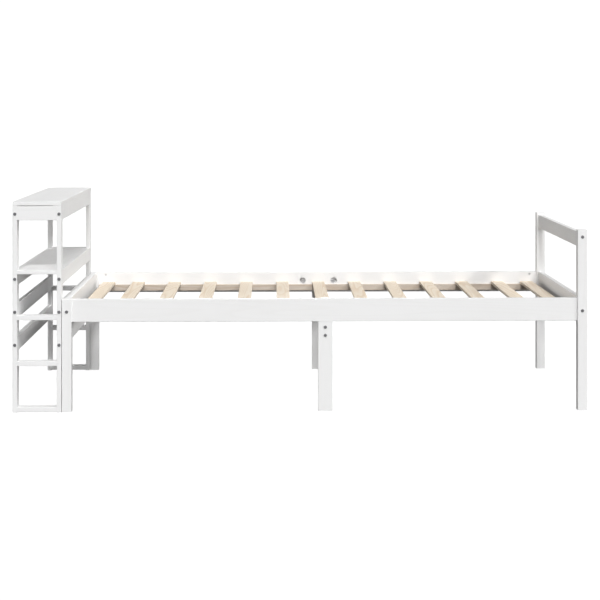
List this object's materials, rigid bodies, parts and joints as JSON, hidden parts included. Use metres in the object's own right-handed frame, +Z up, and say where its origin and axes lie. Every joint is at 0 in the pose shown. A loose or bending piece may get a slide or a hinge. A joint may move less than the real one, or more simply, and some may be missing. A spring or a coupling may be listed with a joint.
{
  "type": "bed frame",
  "caption": "Single bed frame of white painted pine with natural slats, a raised foot end, middle legs under split side rails and a slim open bookcase standing at the head.",
  "frame": {"origin": "on the floor, under the middle of the whole, bed and bookcase together", "axes": "+X from the bookcase to the foot end, +Y from the near side to the far side, +Z up"},
  "size_m": [2.2488, 0.974, 0.822],
  "materials": {
    "white_paint": "satin white paint on pine",
    "natural_pine": "planed, untreated",
    "zinc_steel": "zinc plated"
  },
  "bodies": {
    "root": {"bolt_heads": "zinc_steel", "bookcase_board_back_lower": "white_paint", "bookcase_board_back_shelf": "white_paint", "bookcase_board_back_top": "white_paint", "bookcase_board_back_upper": "white_paint", "bookcase_board_front_lower": "white_paint", "bookcase_board_front_shelf": "white_paint", "bookcase_board_front_top": "white_paint", "bookcase_board_front_upper": "white_paint", "bookcase_bottom_rail_far": "white_paint", "bookcase_bottom_rail_near": "white_paint", "bookcase_lower_rung_far": "white_paint", "bookcase_lower_rung_near": "white_paint", "bookcase_post_back_far": "white_paint", "bookcase_post_back_near": "white_paint", "bookcase_post_front_far": "white_paint", "bookcase_post_front_near": "white_paint", "bookcase_shelf": "white_paint", "bookcase_top_panel": "white_paint", "bookcase_top_rail_far": "white_paint", "bookcase_top_rail_near": "white_paint", "bookcase_upper_rung_far": "white_paint", "bookcase_upper_rung_near": "white_paint", "foot_post_far": "white_paint", "foot_post_near": "white_paint", "foot_rail_lower": "white_paint", "foot_rail_upper": "white_paint", "head_post_far": "white_paint", "head_post_near": "white_paint", "head_rail": "white_paint", "mid_bearer": "white_paint", "mid_leg_far": "white_paint", "mid_leg_near": "white_paint", "rail_joint_fittings": "zinc_steel", "side_rail_barrel_nuts": "zinc_steel", "side_rail_bolts": "zinc_steel", "side_rail_far_foot": "white_paint", "side_rail_far_head": "white_paint", "side_rail_near_foot": "white_paint", "side_rail_near_head": "white_paint", "slat_01": "natural_pine", "slat_02": "natural_pine", "slat_03": "natural_pine", "slat_04": "natural_pine", "slat_05": "natural_pine", "slat_06": "natural_pine", "slat_07": "natural_pine", "slat_08": "natural_pine", "slat_09": "natural_pine", "slat_10": "natural_pine", "slat_11": "natural_pine", "slat_12": "natural_pine", "slat_13": "natural_pine", "slat_ledger_far_foot": "natural_pine", "slat_ledger_far_head": "natural_pine", "slat_ledger_near_foot": "natural_pine", "slat_ledger_near_head": "natural_pine"}
  },
  "joints": []
}
